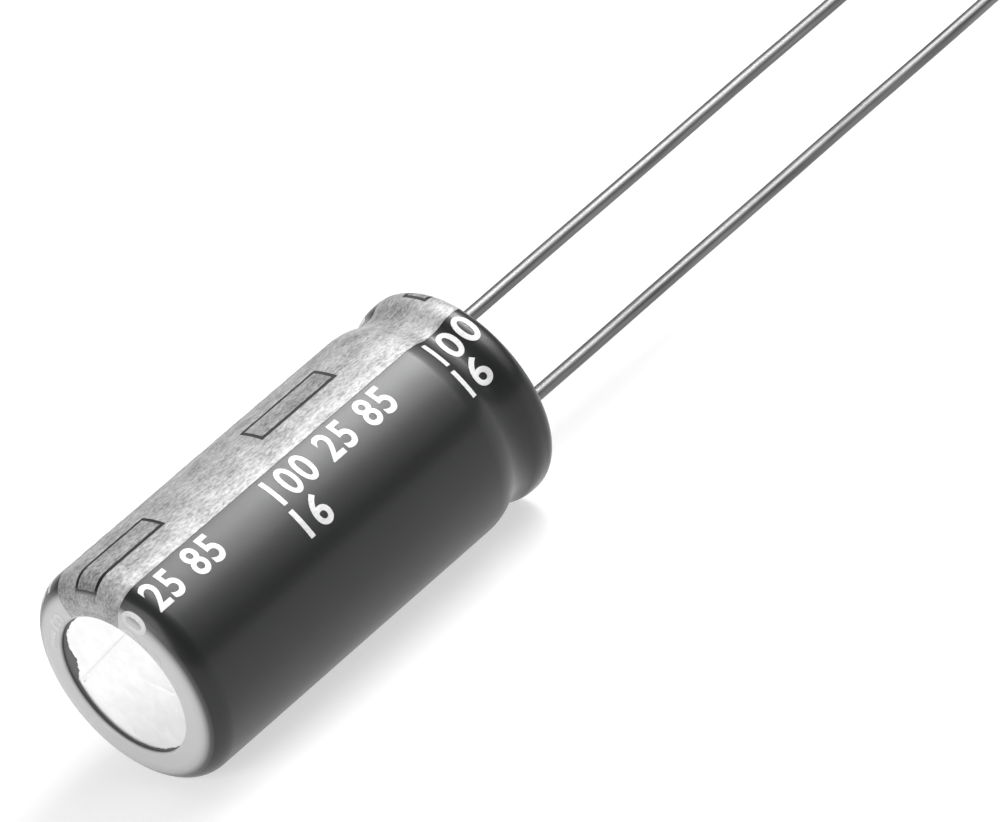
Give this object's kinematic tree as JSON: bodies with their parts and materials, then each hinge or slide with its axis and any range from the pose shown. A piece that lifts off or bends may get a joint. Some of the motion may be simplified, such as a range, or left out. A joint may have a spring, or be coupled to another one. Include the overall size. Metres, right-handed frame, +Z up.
{
  "type": "electrolytic capacitor",
  "caption": "Radial aluminium electrolytic capacitor lying on its side: dark shrink sleeve with a silver polarity stripe, crimped seal end, scored can end and straight wire leads.",
  "frame": {"origin": "on the surface that the part lies on, under the middle of its bounding box", "axes": "+X along the body from the can end to the wires, +Z up through the printed stripe, so the negative wire is above the positive one"},
  "size_m": [0.0558, 0.01, 0.01],
  "materials": {
    "sleeve_plastic": "smooth dark grey shrink film, glossy",
    "silver_ink": "silver printing ink with a fine metallic grain",
    "can_aluminium": "bright drawn aluminium",
    "seal_rubber": "matt black moulded rubber",
    "tinned_wire": "tin-plated wire, drawn, semi-bright",
    "tab_aluminium": "pressed aluminium, satin",
    "etched_foil": "etched and formed aluminium foil, matt grey",
    "plain_foil": "thin aluminium foil, satin",
    "separator_paper": "paper soaked in electrolyte",
    "tape_film": "brown adhesive film"
  },
  "bodies": {
    "root": {"sleeve": "sleeve_plastic", "polarity_stripe": "silver_ink", "minus_marks": "silver_ink", "can": "can_aluminium", "end_seal": "seal_rubber", "anode_wire": "tinned_wire", "cathode_wire": "tinned_wire", "anode_tab": "tab_aluminium", "cathode_tab": "tab_aluminium", "anode_foil": "etched_foil", "cathode_foil": "plain_foil", "inner_separator": "separator_paper", "outer_separator": "separator_paper", "finishing_tape": "tape_film"}
  },
  "joints": []
}
